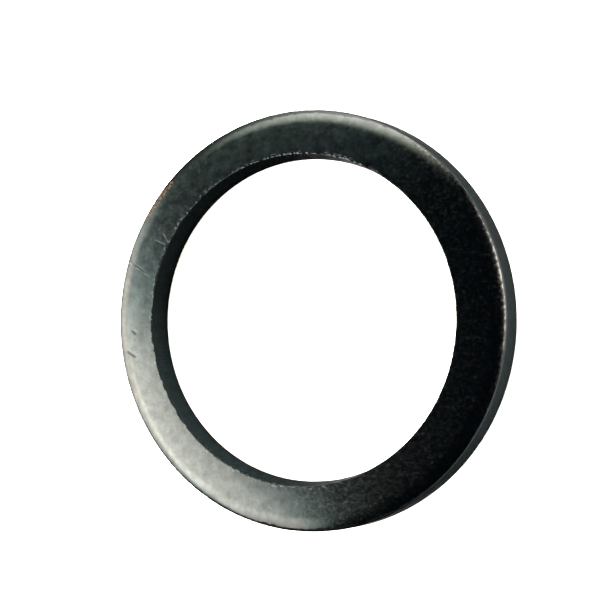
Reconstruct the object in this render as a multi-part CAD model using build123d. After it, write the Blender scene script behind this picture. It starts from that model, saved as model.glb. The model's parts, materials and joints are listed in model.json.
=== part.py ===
from build123d import *
import os

# A flat steel ring washer, stamped from sheet in one piece, lying on its back face.
# The origin is at the middle of the back face, and +Z is the axis of the bore.

# Driving sizes, in millimetres
bore_diameter = 20.0
ring_width = 3.0
thickness = 2.0

# Front outer edge: the face turns down to the rim, and the rim leans out to the back
rim_lean = 0.25
# The turn takes a share of the ring's width, and its drop and round are shares of the turn's own width
turn_width_share = 0.35
turn_drop_share = 0.25
edge_round_share = 0.28

# Back bore edge: the face turns into the bore, on the side where the punch went in
bore_turn_width = 0.2
bore_turn_depth = 0.12

# Places that follow from the sizes
bore_radius = bore_diameter / 2
rim_radius = bore_radius + ring_width
turn_width = ring_width * turn_width_share
turn_drop = turn_width * turn_drop_share
edge_round = turn_width * edge_round_share
edge_radius = rim_radius - rim_lean
edge_height = thickness - turn_drop
turn_start_radius = edge_radius - turn_width
bore_turn_radius = bore_radius + bore_turn_width


def sheared_section():
    """One side of the ring's section, with the turned and the sharp edges that shearing leaves."""
    front_face = Line((bore_radius, thickness), (turn_start_radius, thickness))
    front_turn = TangentArc(front_face @ 1, (edge_radius, edge_height), tangent=front_face % 1)
    rim = Line(front_turn @ 1, (rim_radius, 0))
    back_face = Line(rim @ 1, (bore_turn_radius, 0))
    bore_turn = EllipticalCenterArc(
        (bore_turn_radius, bore_turn_depth), bore_turn_width, bore_turn_depth, start_angle=180, arc_size=90
    )
    bore_wall = Line((bore_radius, bore_turn_depth), front_face @ 0)
    outline = make_face([front_face, front_turn, rim, back_face, bore_turn, bore_wall])
    front_edge = outline.vertices().sort_by_distance((edge_radius, edge_height))[0]
    return fillet(front_edge, edge_round)


def make_washer():
    """The section turned once round the axis of the bore."""
    return revolve(Plane.XZ * sheared_section(), Axis.Z)


washer = make_washer()
washer.label = "washer"

os.makedirs("parts", exist_ok=True)
export_step(washer, "parts/washer.step")
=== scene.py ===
import json
import math

import bpy
import numpy as np
from mathutils import Matrix, Quaternion, Vector


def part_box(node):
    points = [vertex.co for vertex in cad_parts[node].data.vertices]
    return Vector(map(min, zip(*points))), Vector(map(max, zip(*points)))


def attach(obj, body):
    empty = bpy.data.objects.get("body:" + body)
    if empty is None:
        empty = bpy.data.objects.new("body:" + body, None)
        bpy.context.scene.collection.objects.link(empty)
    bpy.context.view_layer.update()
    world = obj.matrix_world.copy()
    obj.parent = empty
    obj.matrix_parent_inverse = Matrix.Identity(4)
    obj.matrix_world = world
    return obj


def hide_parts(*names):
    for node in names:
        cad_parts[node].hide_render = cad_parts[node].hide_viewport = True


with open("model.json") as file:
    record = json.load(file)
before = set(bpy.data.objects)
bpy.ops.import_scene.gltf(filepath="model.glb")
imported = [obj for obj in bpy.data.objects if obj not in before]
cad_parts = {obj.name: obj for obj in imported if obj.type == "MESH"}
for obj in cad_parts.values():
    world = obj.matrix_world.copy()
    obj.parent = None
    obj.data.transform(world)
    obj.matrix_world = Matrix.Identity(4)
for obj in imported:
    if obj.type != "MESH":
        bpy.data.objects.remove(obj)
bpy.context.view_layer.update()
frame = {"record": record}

# A blackened steel ring washer on a white table, seen from above and a little to its right.
# Sizes and places are in millimetres in the frame's axes, and are scaled to metres as objects are made.
# Angles round the ring are in degrees from +X towards +Y.
mm = 0.001

# The ring's main sizes, from the frame
node_low, node_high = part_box("washer")
bore_mount = next(m for m in frame["record"]["mounts"] if m["name"] == "bore")
outer_radius = min(node_high.x - node_low.x, node_high.y - node_low.y) / 2 / mm
thickness = (node_high.z - node_low.z) / mm
bore_radius = bore_mount["dims"]["r_mm"]
bore_turn_depth = thickness - bore_mount["dims"]["length_mm"]
ring_width = outer_radius - bore_radius

# The section's edges, as the part has them
rim_lean = 0.25
turn_width_share = 0.35
turn_drop_share = 0.25
edge_round_share = 0.28
bore_turn_width = 0.2
turn_width = ring_width * turn_width_share
turn_drop = turn_width * turn_drop_share
edge_round = turn_width * edge_round_share
# The face is not quite flat: it falls away from the bore, and has this slope where it meets the turn
crown_slope = 0.05

# How finely the mesh follows the ring and its section
steps_round = 1440
wall_steps = 7
chip_steps = 6
face_steps = 19
turn_steps = 14
round_steps = 9
rim_steps = 7
back_steps = 3
bore_turn_steps = 3
sharp_angle = math.radians(40)

# Where the dull sheared rim begins at some angles, in steps of the mesh from the start of the round
rim_starts = [
    (0, 3),
    (45, 3),
    (60, 1),
    (75, -2),
    (110, -3),
    (165, 2),
    (205, 2),
    (225, 0),
    (285, -1),
    (320, 3),
    (360, 3),
]
# The rim's beginning wanders by this many steps
rim_raggedness = 1.4

# Chips along the front edge of the bore, with the widest of them on the worn arc
chip_reach = 0.16
chip_count = 420
chip_half_length = (0.05, 0.2)
chip_width = (0.02, 0.05)
worn_arc = (55, 190)
worn_chip_width = (0.03, 0.1)
chip_steepness = (0.3, 0.8)
least_reach = 1e-6

# Unevenness of the rolled and tumbled surface
wave_length = 0.35
wave_height = 0.0008
edge_wave_length = 0.2
edge_wave_height = 0.008

# Marks on the face: angle and distance from the bore's edge at each end, then half the width
nicks = [(184.0, 1.5, 185.0, 1.3, 0.1), (190.4, 2.1, 192.4, 1.55, 0.13)]
scratches = [
    (162.7, 2.5, 165.0, 0.6, 0.06),
    (152.3, 1.0, 152.1, 0.25, 0.06),
    (149.2, 0.7, 150.6, 0.12, 0.06),
]
# Dots of bare steel on the turned edge at the right: partly wear, partly beads of the edge's painted
# highlight
edge_dots = [
    (13.4, 2.62, 12.9, 2.62, 0.06),
    (2.6, 2.66, 2.2, 2.66, 0.06),
    (-22.6, 2.7, -22.9, 2.68, 0.06),
]
rust_patch = (148.0, 2.6, 135.0, 2.5, 0.3)
# A faint darker streak on the face near the bore, at the left
dim_streak = (188.0, 0.85, 160.0, 0.85, 0.75)
dim_streak_strength = 0.32
# The longest scratch has a painted shadow beside it, a dark line
shadow_offset = -0.12
shadow_strength = 0.45
nick_depth = 0.012
# Small bare flecks beside the front edge of the bore, on the left of the ring
fleck_count = 150
fleck_arc = (55, 285)
fleck_distance = (0.02, 0.22)
fleck_turn = (0.2, 1.2)
fleck_half_width = (0.03, 0.07)

# Marks about one angle: that angle, how far the mark reaches from it, and over how much of that it fades.
# The sheared walls are painted lighter about their angles, as painted light on one side of each.
bore_painted_light_arc = (250, 80, 80)
rim_painted_light_arc = (25, 95, 45)
# The oxide is rubbed through along the turned edge, within some steps of the mesh; on this arc the rubbed
# beads also stand in for the edge's glint, a painted highlight
rubbed_edge_and_highlight = (12, 50, 25)
rubbed_edge_and_highlight_steps = 3
# The face is stained more unevenly, up to where the turn gets this steep
stained_face = (95, 80, 35)
stain_end_slope = 0.25
seed = 7

# Colours of the face: its oxide, the bare steel of rubbed places and of the turned edge's partly painted
# highlight, and its marks
oxide_black = (0.0193, 0.0225, 0.0222, 1)
bare_steel = (0.046, 0.047, 0.0455, 1)
edge_black = (0.0125, 0.0135, 0.0135, 1)
chip_steel = (0.0145, 0.0174, 0.0183, 1)
nick_and_painted_shadow_black = (0.003, 0.004, 0.005, 1)
rust_brown = (0.058, 0.035, 0.023, 1)
# How much of the oxide the nicks, the painted shadow and the darker streak hide at most, and how far into
# its patch the rust is full
nick_and_painted_shadow_cover = 0.8
rust_full = 0.6
# How strongly the mottle lightens and darkens the oxide, on plain and on stained places
plain_mottle = 1.2
stained_mottle = 3.2
# Roughness of the oxide, and what specks, dots, bare steel and rust add to it
oxide_roughness = 0.135
speck_roughness = 0.072
dot_roughness = 0.07
bare_roughness = 0.25
rust_roughness = 0.4
grain_height = 0.0022

# The sheared walls: colours where plain and where painted lighter as painted light, and the range of their
# roughness
rim_black = (0.0039, 0.0048, 0.0048, 1)
rim_painted_light_colour = (0.0227, 0.028, 0.03, 1)
rim_roughness = (0.5, 0.56)
bore_black = (0.0064, 0.0085, 0.0092, 1)
bore_painted_light_colour = (0.0232, 0.0318, 0.0338, 1)
bore_roughness = (0.42, 0.5)
# Their drag lines are ten times as long as they are wide
drag_scale = (1, 1, 0.1)
drag_height = 0.004

# How bright the metals' reflections stay at grazing angles
face_grazing_tint = (0.4, 0.4, 0.4, 1)
wall_grazing_tint = (0.15, 0.15, 0.15, 1)

# Noises of the metals: hills for each millimetre, levels of detail, and the strength of the finer levels
grain_noise = (3.6, 3.0, 0.6)
mottle_noise = (1.5, 4.0, 0.72)
speck_noise = (4.4, 3.0, 0.6)
dot_noise = (5.5, 1.0, 0.6)
patch_noise = (4.2, 3.0, 0.6)
drag_noise = (5.0, 3.0, 0.6)
noise_middle = 0.5
# The stretch of a noise over which its effect grows from none to full
speck_range = (0.42, 0.72)
dot_range = (0.52, 0.72)
bead_range = (0.44, 0.6)
patch_range = (0.45, 0.6)
drag_range = (0.3, 0.7)

# The camera looks down with a tilt, from about two ring diameters away
camera_distance = 52.0
camera_right = -0.303
camera_up = 1.205
camera_tilt = math.radians(23.84)
camera_tilt_axis = math.radians(5.0)
camera_lens = 49.91
camera_sensor = 36.0
camera_near = 5.0
camera_far = 5000.0

# Two window-like lights at the left, one at the top of the view, a weaker one on the right and a faint fill.
# Each has its azimuth and its angle from upright, its half width, half height and roll, all in degrees,
# the share of it that fades, and the colours of its middle and its edge.
lights = [
    ("key", 217.7, 47.4, 34.4, 18.6, -30.5, 0.34, (6.2, 5.2, 4.7), (2.7, 5.8, 5.7)),
    ("low", 189.0, 64.9, 49.1, 33.5, 45.1, 1.0, (14.5, 11.6, 10.2), (12.9, 13.5, 12.7)),
    ("top", 95.5, 61.0, 44.8, 29.5, 30.8, 0.91, (12.4, 10.3, 9.6), (10.2, 10.8, 8.4)),
    ("side", 16.0, 65.0, 35.0, 32.0, 0.0, 0.9, (9.0, 8.2, 7.5), (9.0, 8.2, 6.8)),
    ("fill", 141.6, 60.0, 34.6, 43.8, 17.4, 0.47, (0.42, 0.51, 0.46), (0.35, 0.49, 0.58)),
]
light_level = 1.92
light_distance = 500.0
room_colour = (0.13, 0.37, 0.68, 1)
room_level = 0.06

# The table lies just under the ring
table_size = 4000.0
table_gap = 0.01
table_white = (0.94, 0.97, 1.0, 1)
table_roughness = 0.9
table_specular = 0.1


def arc_points(centre, radius, start, end, count):
    """Points on an arc of the section, by the angle that the surface has turned down from level."""
    slopes = np.linspace(start, end, count)
    return np.stack([centre[0] + radius * np.sin(slopes), centre[1] + radius * np.cos(slopes)], 1)


def ring_section():
    """The section's points from the bore's wall over the face and round to the bore again.

    The start of each stretch among the points comes with them.
    """
    edge_radius = outer_radius - rim_lean
    edge_height = thickness - turn_drop
    turn_start = edge_radius - turn_width
    turn_radius = turn_width / math.sin(2 * math.atan2(turn_drop, turn_width))
    # The crown runs into the turn where both have the same slope
    crown_angle = math.atan(crown_slope)
    crown_end = turn_start + turn_radius * math.sin(crown_angle)
    crown_fall = crown_slope * (crown_end - bore_radius) / 2
    turn_centre = np.array([turn_start, thickness - crown_fall - turn_radius * math.cos(crown_angle)])
    lean = math.atan2(rim_lean, edge_height)
    rim_out = np.array([math.cos(lean), math.sin(lean)])
    rim_up = np.array([-math.sin(lean), math.cos(lean)])
    # The round's centre lies inside both the rim and the turn by the round's radius
    reach = np.array([outer_radius, 0.0]) - edge_round * rim_out - turn_centre
    along = reach @ rim_up
    rise = -along + math.sqrt(along * along - reach @ reach + (turn_radius - edge_round) ** 2)
    round_centre = turn_centre + reach + rise * rim_up
    meet = math.atan2(*(round_centre - turn_centre))
    round_points = arc_points(round_centre, edge_round, meet, math.pi / 2 - lean, round_steps)
    slopes = np.linspace(0, math.pi / 2, bore_turn_steps + 1)
    bore_turn_radii = bore_radius + bore_turn_width * (1 - np.sin(slopes))
    bore_turn_heights = bore_turn_depth * (1 - np.cos(slopes))
    chip_radii = np.linspace(bore_radius, bore_radius + chip_reach, chip_steps + 1)[:-1]
    face_radii = np.linspace(bore_radius + chip_reach, crown_end, face_steps + 1)[:-1]
    face_radii = np.concatenate([chip_radii, face_radii])
    face_heights = thickness - crown_fall * ((face_radii - bore_radius) / (crown_end - bore_radius)) ** 2
    stretches = {
        "wall": np.linspace((bore_radius, bore_turn_depth), (bore_radius, thickness), wall_steps + 1)[:-1],
        "face": np.stack([face_radii, face_heights], 1),
        "turn": arc_points(turn_centre, turn_radius, crown_angle, meet, turn_steps + 1)[:-1],
        "round": round_points,
        "rim": np.linspace(round_points[-1], (outer_radius, 0), rim_steps + 1)[1:],
        "back": np.linspace((outer_radius, 0), (bore_radius + bore_turn_width, 0), back_steps + 1)[1:-1],
        "bore_turn": np.stack([bore_turn_radii, bore_turn_heights], 1)[:-1],
    }
    starts = {}
    count = 0
    for name, points in stretches.items():
        starts[name] = count
        count += len(points)
    return np.concatenate(list(stretches.values())), starts


def smooth_noise(draws, shape, lengths):
    """Random hills of about the given lengths, in grid steps along each side, from -1 to 1."""
    field = np.fft.fft2(draws.normal(size=shape))
    for side, length in enumerate(lengths):
        waves = np.fft.fftfreq(shape[side]) * length
        fall = np.exp(-2 * (math.pi * waves / 2) ** 2)
        field = field * (fall[:, None] if side == 0 else fall[None, :])
    field = np.fft.ifft2(field).real
    return field / np.abs(field).max()


def degrees_away(angles, middle):
    """How far each angle is from a middle one, the shorter way round, with its sign."""
    return (angles - middle + 180) % 360 - 180


def chip_profile(draws, angles):
    """How far the chips reach into the face at each angle, and how deep they go for that."""
    reach = np.zeros(len(angles))
    depth = np.zeros(len(angles))
    for _ in range(chip_count):
        middle = draws.uniform(0, 360)
        half = draws.uniform(*chip_half_length)
        rubbed_and_painted_light = worn_arc[0] < middle < worn_arc[1]
        width = draws.uniform(*(worn_chip_width if rubbed_and_painted_light else chip_width))
        steep = draws.uniform(*chip_steepness)
        away = np.radians(degrees_away(angles, middle)) * bore_radius
        chip = width * np.clip(1 - (away / half) ** 2, 0, 1)
        deeper = chip > reach
        reach = np.where(deeper, chip, reach)
        depth = np.where(deeper, chip * steep, depth)
    return reach, depth


def bore_flecks(draws):
    """Short marks along the part of the bore's front edge that has flecks."""
    flecks = []
    for _ in range(fleck_count):
        angle = draws.uniform(*fleck_arc)
        distance = draws.uniform(*fleck_distance)
        far_angle = angle + draws.uniform(*fleck_turn)
        flecks.append((angle, distance, far_angle, distance, draws.uniform(*fleck_half_width)))
    return flecks


def beside(mark, offset):
    """The same mark moved round the ring by an offset."""
    turn = math.degrees(offset / (bore_radius + mark[1]))
    return (mark[0] + turn, mark[1], mark[2] + turn, mark[3], mark[4])


def streak(points, mark):
    """How much of a mark lies on each point of the face, from 0 to 1 along its middle line."""
    ends = []
    for angle, distance in (mark[0:2], mark[2:4]):
        radius = bore_radius + distance
        ends.append(np.array([math.cos(math.radians(angle)), math.sin(math.radians(angle))]) * radius)
    run = ends[1] - ends[0]
    share = np.clip(((points[..., :2] - ends[0]) @ run) / (run @ run), 0, 1)
    away = np.linalg.norm(points[..., :2] - ends[0] - share[..., None] * run, axis=-1)
    return np.clip(1 - away / mark[4], 0, 1)


def streaks(points, marks):
    """The most of any of some marks on each point."""
    return np.max([streak(points, mark) for mark in marks], 0)


def arc_strength(angles, place):
    """How strong one kind of mark is at each angle, from 0 to 1, by its middle, reach and fade: wear, stain
    and painted light alike.
    """
    middle, reach, fade = place
    return np.clip((reach - np.abs(degrees_away(angles, middle))) / fade, 0, 1)


def add_layer(mesh, name, values):
    """One value for each point of a mesh, for the materials to read."""
    mesh.attributes.new(name, "FLOAT", "POINT").data.foreach_set("value", values.astype(np.float32).ravel())


def make_washer(materials):
    """The ring as one closed mesh, with its wear in the shape and in the layers that the materials read, and
    painted light and shade in those layers too.
    """
    draws = np.random.default_rng(seed)
    section, starts = ring_section()
    count = len(section)
    degrees = np.linspace(0, 360, steps_round, endpoint=False)
    angles = np.radians(degrees)
    shape = (steps_round, count)
    radii = np.broadcast_to(section[:, 0], shape).copy()
    heights = np.broadcast_to(section[:, 1], shape).copy()
    order = np.arange(count)
    front = (order >= starts["face"]) & (order < starts["rim"])

    # Chips lower the face's edge, and the wall ends below them
    reach, depth = chip_profile(draws, degrees)
    inside = bore_radius + reach[:, None] - radii
    chipped = (inside > 0) & front[None, :]
    drop = depth[:, None] * np.clip(inside / np.maximum(reach[:, None], least_reach), 0, 1)
    heights -= np.where(chipped, drop, 0)
    wall = order < starts["face"]
    wall_share = (section[wall, 1] - bore_turn_depth) / (thickness - bore_turn_depth)
    heights[:, wall] -= depth[:, None] * wall_share[None, :]

    # Slight hills, all below the true surface, with shorter ones along the turned edge
    slope = np.gradient(section, axis=0)
    outward = np.stack([-slope[:, 1], slope[:, 0]], 1)
    outward /= np.linalg.norm(outward, axis=1)[:, None]
    turned = np.clip(outward[:, 0], 0, 1) * front
    step_round = 2 * math.pi * outer_radius / steps_round
    step_across = turn_width / turn_steps
    long_waves = (wave_length / step_round, wave_length / step_across)
    short_waves = (edge_wave_length / step_round, edge_wave_length / step_across)
    long_hills = smooth_noise(draws, shape, long_waves) - 1
    short_hills = smooth_noise(draws, shape, short_waves) - 1
    hills = (wave_height * long_hills + edge_wave_height * turned**2 * short_hills) * front
    radii += hills * outward[None, :, 0]
    heights += hills * outward[None, :, 1]
    points = np.stack([radii * np.cos(angles)[:, None], radii * np.sin(angles)[:, None], heights], -1)

    # Where the face is chipped, stained, rubbed and marked, with a painted shadow beside the longest scratch
    # and a partly painted highlight on the turned edge
    near_edge = np.abs(order - starts["round"]) < rubbed_edge_and_highlight_steps
    shadow = beside(scratches[0], shadow_offset)
    dark = np.maximum(streaks(points, nicks), shadow_strength * streak(points, shadow))
    dark = np.maximum(dark, dim_streak_strength * streak(points, dim_streak))
    layers = {
        "bare": chipped.astype(float),
        "stained": arc_strength(degrees, stained_face)[:, None] * np.clip(1 - turned / stain_end_slope, 0, 1),
        "edge": near_edge[None, :] * arc_strength(degrees, rubbed_edge_and_highlight)[:, None],
        "dark": dark,
        "scratch": streaks(points, scratches + edge_dots + bore_flecks(draws)),
        "rust": streak(points, rust_patch),
    }
    points[..., 2] -= nick_depth * dark * front[None, :]

    # One quad between each point and its neighbours round the ring and along the section
    here = np.arange(steps_round)[:, None] * count + order[None, :]
    ahead = np.roll(here, -1, 0)
    quads = np.stack([here, np.roll(here, -1, 1), np.roll(ahead, -1, 1), ahead], -1).reshape(-1, 4)
    mesh = bpy.data.meshes.new("washer_ring")
    mesh.from_pydata((points.reshape(-1, 3) * mm).tolist(), [], quads.tolist())
    for name, values in layers.items():
        add_layer(mesh, name, values * front[None, :])
    # The walls' layer is painted light: the rim and the bore are each lighter about one angle
    on_rim = (order >= starts["turn"]) & (order < starts["bore_turn"])
    rubbed_and_painted_light = np.where(on_rim, arc_strength(degrees, rim_painted_light_arc)[:, None], arc_strength(degrees, bore_painted_light_arc)[:, None])
    add_layer(mesh, "rubbed_and_painted_light", rubbed_and_painted_light)

    # The first material is on the faces, the second on the rim and the third in the bore
    for material in materials:
        mesh.materials.append(material)
    kinds = np.zeros(shape, np.int32)
    ragged_hills = smooth_noise(draws, (steps_round, 1), (edge_wave_length / step_round, 1))
    ragged = np.rint(rim_raggedness * ragged_hills)
    rim_start = starts["round"] + np.rint(np.interp(degrees, *zip(*rim_starts)))[:, None] + ragged
    kinds[(order >= rim_start) & (order < starts["back"])] = 1
    kinds[:, : starts["face"]] = 2
    kinds[:, starts["bore_turn"] :] = 2
    mesh.polygons.foreach_set("material_index", kinds.ravel())
    mesh.polygons.foreach_set("use_smooth", np.ones(len(quads), bool))
    mesh.set_sharp_from_angle(angle=sharp_angle)
    mesh.update()
    washer = bpy.data.objects.new("washer_ring", mesh)
    bpy.context.scene.collection.objects.link(washer)
    return washer


def add(tree, kind, inputs, **settings):
    """One shader node. Inputs are values, or outputs of other nodes to link."""
    made = tree.nodes.new("ShaderNode" + kind)
    for name, value in settings.items():
        setattr(made, name, value)
    for name, value in inputs.items():
        if isinstance(value, bpy.types.NodeSocket):
            tree.links.new(value, made.inputs[name])
        else:
            made.inputs[name].default_value = value
    return made


def noise(tree, place, kind):
    """Cloudy noise of one kind."""
    scale, detail, roughness = kind
    inputs = {"Vector": place, "Scale": scale, "Detail": detail, "Roughness": roughness}
    return add(tree, "TexNoise", inputs).outputs["Fac"]


def spread(tree, value, source, target, **settings):
    """A value stretched from one range to another and held at its ends."""
    inputs = {"Value": value}
    inputs["From Min"], inputs["From Max"] = source
    inputs["To Min"], inputs["To Max"] = target
    return add(tree, "MapRange", inputs, **settings).outputs["Result"]


def blend(tree, share, low, high):
    """A colour between two, by a share."""
    return add(tree, "Mix", {"Factor": share, 6: low, 7: high}, data_type="RGBA").outputs[2]


def layer(tree, name):
    """One of the mesh's layers."""
    return add(tree, "Attribute", {}, attribute_name=name).outputs["Fac"]


def product(tree, first, second):
    """Two values multiplied."""
    return add(tree, "Math", {0: first, 1: second}, operation="MULTIPLY").outputs["Value"]


def total(tree, first, second):
    """Two values added."""
    return add(tree, "Math", {0: first, 1: second}, operation="ADD").outputs["Value"]


def scaled(tree, vector, scale):
    """A vector or colour times a value."""
    return add(tree, "VectorMath", {0: vector, "Scale": scale}, operation="SCALE").outputs["Vector"]


def new_metal(name, grazing_tint):
    """A metal with its node tree, its shader and the place on the surface in millimetres."""
    material = bpy.data.materials.new(name)
    material.use_nodes = True
    tree = material.node_tree
    shader = tree.nodes["Principled BSDF"]
    shader.inputs["Metallic"].default_value = 1
    shader.inputs["Specular Tint"].default_value = grazing_tint
    place = scaled(tree, add(tree, "TexCoord", {}).outputs["Object"], 1 / mm)
    return material, tree, shader, place


def finish_metal(tree, shader, colour, roughness, hills, hill_height):
    """Gives a metal's shader its colour, its roughness and its bump."""
    bump = add(tree, "Bump", {"Height": hills, "Strength": 1.0, "Distance": hill_height * mm})
    tree.links.new(colour, shader.inputs["Base Color"])
    tree.links.new(roughness, shader.inputs["Roughness"])
    tree.links.new(bump.outputs["Normal"], shader.inputs["Normal"])


def make_face_metal():
    """Black oxide on the faces and the turned edge: soft grain, dull specks, and marks down to the steel."""
    material, tree, shader, place = new_metal("black_oxide_face", face_grazing_tint)
    specks = spread(tree, noise(tree, place, speck_noise), speck_range, (0, 1))
    patches = spread(tree, noise(tree, place, patch_noise), patch_range, (0, 1))
    fine = noise(tree, place, dot_noise)
    dots = spread(tree, fine, dot_range, (0, 1))
    beads = spread(tree, fine, bead_range, (0, 1))
    chips = layer(tree, "bare")
    scratched = layer(tree, "scratch")
    rusty = product(tree, spread(tree, layer(tree, "rust"), (0, rust_full), (0, 1)), beads)

    mottle = total(tree, noise(tree, place, mottle_noise), -noise_middle)
    unevenness = spread(tree, layer(tree, "stained"), (0, 1), (plain_mottle, stained_mottle))
    oxide = scaled(tree, oxide_black[:3], total(tree, product(tree, mottle, unevenness), 1))
    # The turned edge is rubbed bright in beads, and darker between them: partly wear, partly a painted
    # highlight along the edge
    colour = blend(tree, layer(tree, "edge"), oxide, blend(tree, beads, edge_black, bare_steel))
    colour = blend(tree, product(tree, scratched, patches), colour, bare_steel)
    colour = blend(tree, chips, colour, chip_steel)
    # Nicks, the painted shadow beside the longest scratch and the darker streak darken the colour
    colour = blend(tree, spread(tree, layer(tree, "dark"), (0, 1), (0, nick_and_painted_shadow_cover)), colour, nick_and_painted_shadow_black)
    colour = blend(tree, rusty, colour, rust_brown)

    roughness = total(tree, product(tree, specks, speck_roughness), product(tree, dots, dot_roughness))
    roughness = total(tree, roughness, oxide_roughness)
    roughness = total(tree, roughness, product(tree, total(tree, chips, scratched), bare_roughness))
    roughness = total(tree, roughness, product(tree, rusty, rust_roughness))
    finish_metal(tree, shader, colour, roughness, noise(tree, place, grain_noise), grain_height)
    return material


def make_wall_metal(name, plain, rubbed_and_painted_light, roughness):
    """Oxide on a sheared wall: dull, painted lighter about one angle as painted light, with fine upright
    drag lines.
    """
    material, tree, shader, place = new_metal(name, wall_grazing_tint)
    upright = add(tree, "Mapping", {"Vector": place, "Scale": drag_scale}).outputs["Vector"]
    drag = noise(tree, upright, drag_noise)
    # The layer read here is painted light, making the wall lighter about one angle
    colour = blend(tree, layer(tree, "rubbed_and_painted_light"), plain, rubbed_and_painted_light)
    finish_metal(tree, shader, colour, spread(tree, drag, drag_range, roughness), drag, drag_height)
    return material


def make_light(name, azimuth, zenith, half_width, half_height, roll, softness, middle, edge):
    """An oval area light that faces the ring and fades towards its edge."""
    light = bpy.data.lights.new(name, "AREA")
    light.shape = "ELLIPSE"
    light.size = 2 * light_distance * math.tan(math.radians(half_width)) * mm
    light.size_y = 2 * light_distance * math.tan(math.radians(half_height)) * mm
    light.energy = light_level * math.pi * light.size * light.size_y
    light.use_nodes = True
    tree = light.node_tree
    emission = tree.nodes["Emission"]
    # The place on the light runs from 0 to 1 on each side, so its edge is half a side from its middle
    across = add(tree, "NewGeometry", {}).outputs["Parametric"]
    across = add(tree, "VectorMath", {0: across, 1: (0.5, 0.5, 0)}, operation="SUBTRACT").outputs["Vector"]
    across = add(tree, "VectorMath", {0: across}, operation="LENGTH").outputs["Value"]
    fade = spread(tree, across, (0.5 * (1 - softness), 0.5), (1, 0), interpolation_type="SMOOTHSTEP")
    tree.links.new(fade, emission.inputs["Strength"])
    tree.links.new(blend(tree, fade, (*edge, 1), (*middle, 1)), emission.inputs["Color"])
    lamp = bpy.data.objects.new(name, light)
    turn, tip = math.radians(azimuth), math.radians(zenith)
    out = Vector((math.sin(tip) * math.cos(turn), math.sin(tip) * math.sin(turn), math.cos(tip)))
    side = Vector((-math.sin(turn), math.cos(turn), 0))
    axes = Matrix((side, out.cross(side), out)).transposed()
    lamp.rotation_mode = "QUATERNION"
    lamp.rotation_quaternion = Quaternion(out, math.radians(roll)) @ axes.to_quaternion()
    lamp.location = out * light_distance * mm
    lamp.visible_camera = False
    bpy.context.scene.collection.objects.link(lamp)


def make_floor():
    """A plain white table top."""
    half = table_size / 2 * mm
    level = -table_gap * mm
    mesh = bpy.data.meshes.new("floor")
    corners = [(-half, -half, level), (half, -half, level), (half, half, level), (-half, half, level)]
    mesh.from_pydata(corners, [], [(0, 1, 2, 3)])
    material = bpy.data.materials.new("white_table")
    material.use_nodes = True
    shader = material.node_tree.nodes["Principled BSDF"]
    shader.inputs["Base Color"].default_value = table_white
    shader.inputs["Roughness"].default_value = table_roughness
    shader.inputs["Specular IOR Level"].default_value = table_specular
    mesh.materials.append(material)
    floor = bpy.data.objects.new("floor", mesh)
    bpy.context.scene.collection.objects.link(floor)


def make_camera():
    """The camera, turned from straight down by its tilt about a line on the table."""
    data = bpy.data.cameras.new("camera")
    data.sensor_width = camera_sensor
    data.lens = camera_lens
    data.clip_start = camera_near * mm
    data.clip_end = camera_far * mm
    camera = bpy.data.objects.new("camera", data)
    axis = Vector((math.sin(camera_tilt_axis), math.cos(camera_tilt_axis), 0))
    camera.rotation_mode = "QUATERNION"
    camera.rotation_quaternion = Quaternion(axis, camera_tilt)
    place = Vector((camera_right, camera_up, camera_distance)) * mm
    camera.location = camera.rotation_quaternion @ place
    bpy.context.scene.collection.objects.link(camera)
    bpy.context.scene.camera = camera


def make_world():
    """A dim room."""
    world = bpy.data.worlds.new("room")
    world.use_nodes = True
    background = world.node_tree.nodes["Background"]
    background.inputs["Color"].default_value = room_colour
    background.inputs["Strength"].default_value = room_level * light_level
    bpy.context.scene.world = world


face_metal = make_face_metal()
rim_metal = make_wall_metal("sheared_rim", rim_black, rim_painted_light_colour, rim_roughness)
bore_metal = make_wall_metal("sheared_bore", bore_black, bore_painted_light_colour, bore_roughness)
ring = make_washer([face_metal, rim_metal, bore_metal])
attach(ring, "root")
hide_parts("washer")

make_floor()
make_camera()
make_world()
for light in lights:
    make_light(*light)
bpy.context.scene.view_settings.view_transform = "Standard"
